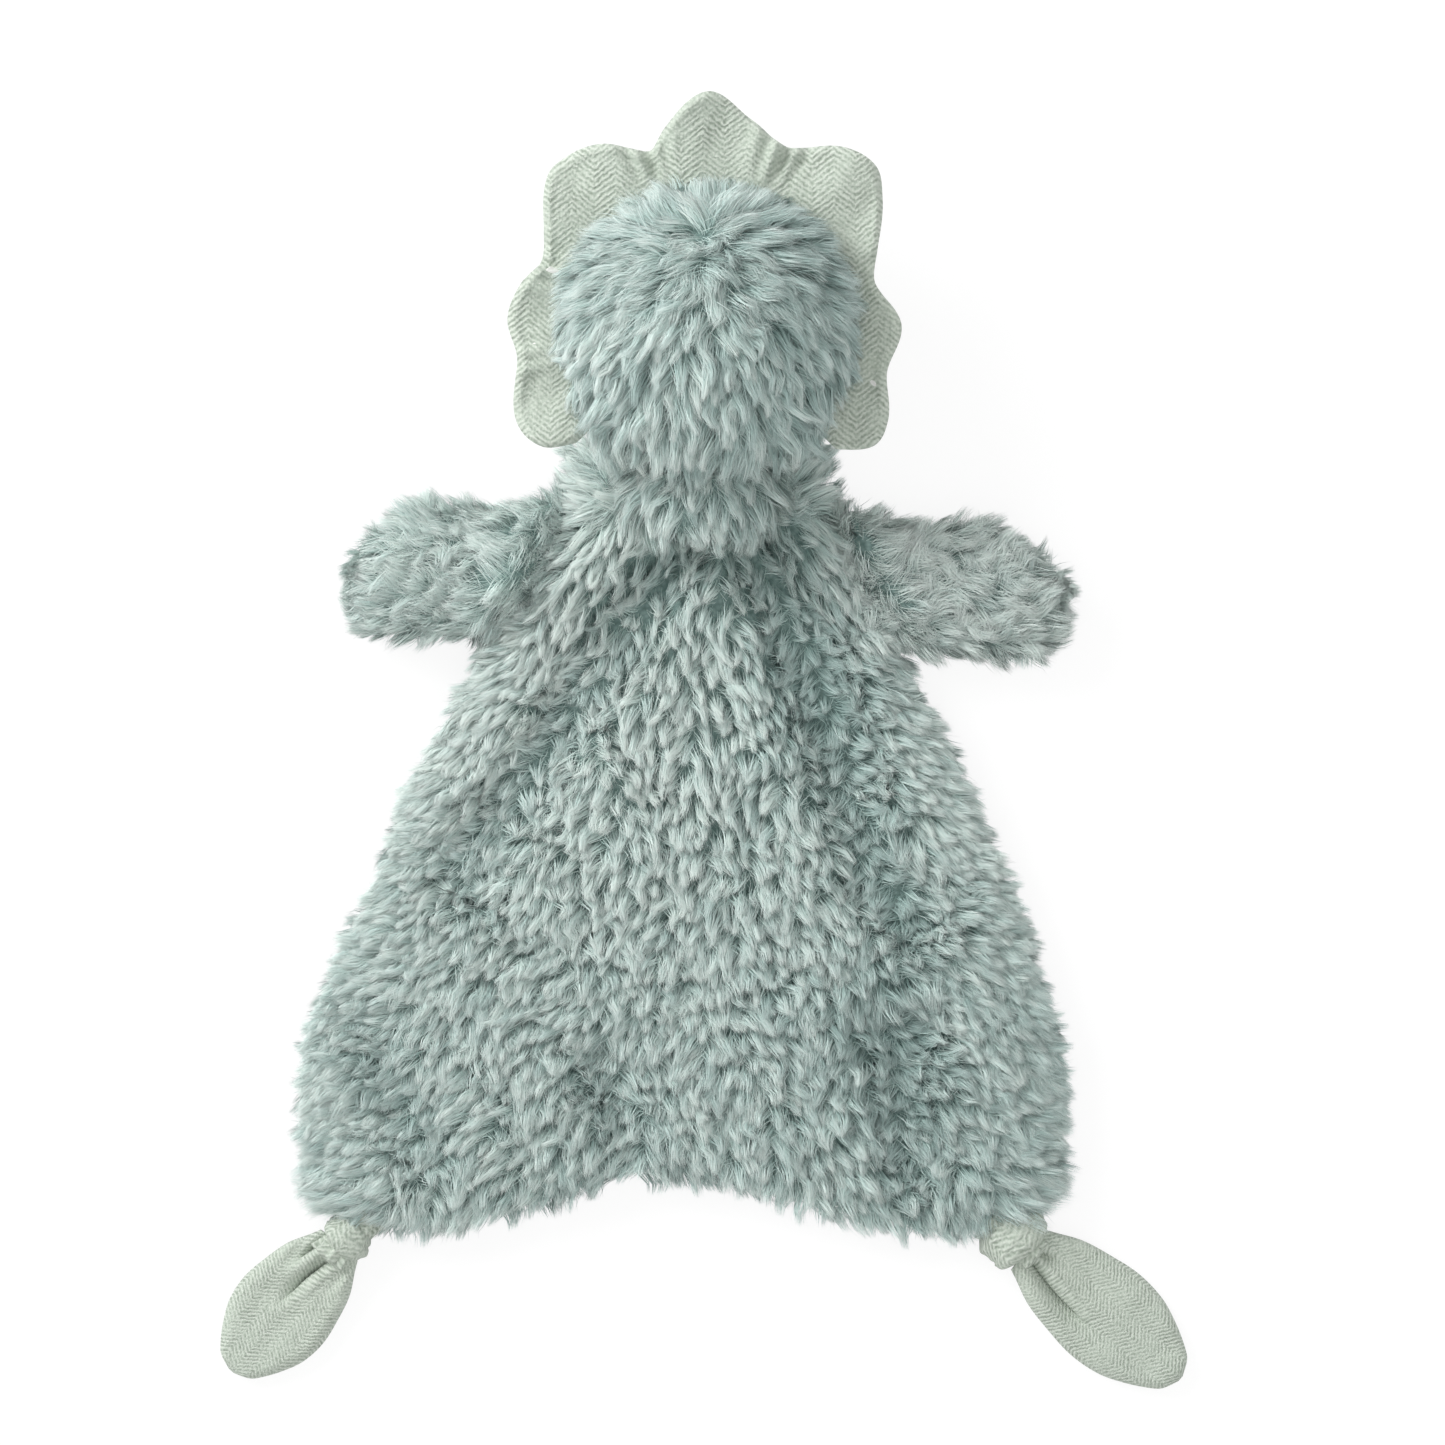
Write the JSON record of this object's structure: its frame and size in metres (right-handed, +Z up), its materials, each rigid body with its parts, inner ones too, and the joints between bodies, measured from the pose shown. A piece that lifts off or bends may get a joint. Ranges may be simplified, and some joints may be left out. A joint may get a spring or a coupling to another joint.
{
  "type": "comfort blanket lovey",
  "caption": "Soft comfort blanket with a round furry frilled head, two stub arms and a flat fur body whose lower corners end in knotted cloth tails.",
  "frame": {"origin": "under the middle of the toy, on the surface that it lies on", "axes": "+X to the right of the toy seen from its back, +Y from the tails to the crown of the head, +Z up out of the back of the toy, which lies face down"},
  "size_m": [0.2458, 0.3276, 0.081],
  "materials": {
    "fur_cloth": "long pile plush, soft and matt, grey teal with paler tips",
    "woven_cloth": "herringbone woven cotton look, pale sage, matt",
    "muzzle_cloth": "short pile velour, pale sage, matt",
    "horn_cloth": "plain cream felt, matt",
    "inner_cloth": "plain woven lining",
    "fibre_fill": "loose polyester fibre",
    "dark_thread": "satin stitch embroidery, slight sheen",
    "pale_thread": "sewing thread"
  },
  "bodies": {
    "upper_blanket": {"blanket_back_panel_upper": "fur_cloth", "blanket_lining_upper": "inner_cloth", "blanket_front_panel_upper": "fur_cloth"},
    "lower_blanket": {"blanket_back_panel_lower": "fur_cloth", "blanket_lining_lower": "inner_cloth", "blanket_front_panel_lower": "fur_cloth"},
    "neck_filling": {"neck_stuffing": "fibre_fill"},
    "neck": {"neck_sleeve": "fur_cloth", "neck_gather_thread": "pale_thread"},
    "head": {"head_back_panel": "fur_cloth", "head_face_panel": "fur_cloth", "head_stuffing": "fibre_fill", "frill_front_layer": "woven_cloth", "frill_wadding": "fibre_fill", "frill_back_layer": "woven_cloth", "muzzle_cover": "muzzle_cloth", "muzzle_stuffing": "fibre_fill", "left_eye": "dark_thread", "right_eye": "dark_thread", "left_nostril": "dark_thread", "right_nostril": "dark_thread", "mouth_stitch": "dark_thread", "nose_horn": "horn_cloth", "nose_horn_stuffing": "fibre_fill", "left_brow_horn": "horn_cloth", "left_brow_horn_stuffing": "fibre_fill", "right_brow_horn": "horn_cloth", "right_brow_horn_stuffing": "fibre_fill"},
    "left_arm": {"left_arm_back_panel": "fur_cloth", "left_arm_front_panel": "fur_cloth", "left_arm_stuffing": "fibre_fill"},
    "right_arm": {"right_arm_back_panel": "fur_cloth", "right_arm_front_panel": "fur_cloth", "right_arm_stuffing": "fibre_fill"},
    "left_knot": {"left_knot_wrap": "woven_cloth", "left_knot_core": "woven_cloth"},
    "left_tail": {"left_tail_back_layer": "woven_cloth", "left_tail_front_layer": "woven_cloth"},
    "right_knot": {"right_knot_wrap": "woven_cloth", "right_knot_core": "woven_cloth"},
    "right_tail": {"right_tail_back_layer": "woven_cloth", "right_tail_front_layer": "woven_cloth"}
  },
  "joints": [
    {"name": "blanket_fold", "type": "hinge", "parent": "upper_blanket", "child": "lower_blanket", "pos_m": [-0.00054, -0.03594, 0.009], "axis": [-1, 0, 0], "range_deg": [-90, 90]},
    {"name": "head_tilt", "type": "hinge", "parent": "upper_blanket", "child": "neck_filling", "pos_m": [-0.00054, 0.06706, 0.03], "axis": [0, 0, 1], "range_deg": [-20, 20]},
    {"name": "head_nod", "type": "hinge", "parent": "neck_filling", "child": "neck", "pos_m": [-0.00054, 0.06706, 0.03], "axis": [1, 0, 0], "range_deg": [-30, 50]},
    {"name": "head_turn", "type": "hinge", "parent": "neck", "child": "head", "pos_m": [-0.00054, 0.06706, 0.03], "axis": [0, 1, 0], "range_deg": [-45, 45]},
    {"name": "left_arm_lift", "type": "hinge", "parent": "upper_blanket", "child": "left_arm", "pos_m": [-0.04654, 0.04456, 0.0112], "axis": [0.3969, 0.9179, 0], "range_deg": [-80, 80]},
    {"name": "right_arm_lift", "type": "hinge", "parent": "upper_blanket", "child": "right_arm", "pos_m": [0.04396, 0.04106, 0.0112], "axis": [0.3911, -0.9203, 0], "range_deg": [-80, 80]},
    {"name": "left_knot_swing", "type": "hinge", "parent": "lower_blanket", "child": "left_knot", "pos_m": [-0.09154, -0.12644, 0.007], "axis": [0, 0, 1], "range_deg": [-30, 30]},
    {"name": "left_tail_lift", "type": "hinge", "parent": "left_knot", "child": "left_tail", "pos_m": [-0.09154, -0.12644, 0.007], "axis": [-0.7593, 0.6508, 0], "range_deg": [-90, 90]},
    {"name": "right_knot_swing", "type": "hinge", "parent": "lower_blanket", "child": "right_knot", "pos_m": [0.07856, -0.12674, 0.007], "axis": [0, 0, 1], "range_deg": [-30, 30]},
    {"name": "right_tail_lift", "type": "hinge", "parent": "right_knot", "child": "right_tail", "pos_m": [0.07856, -0.12674, 0.007], "axis": [-0.6361, -0.7716, 0], "range_deg": [-90, 90]}
  ]
}
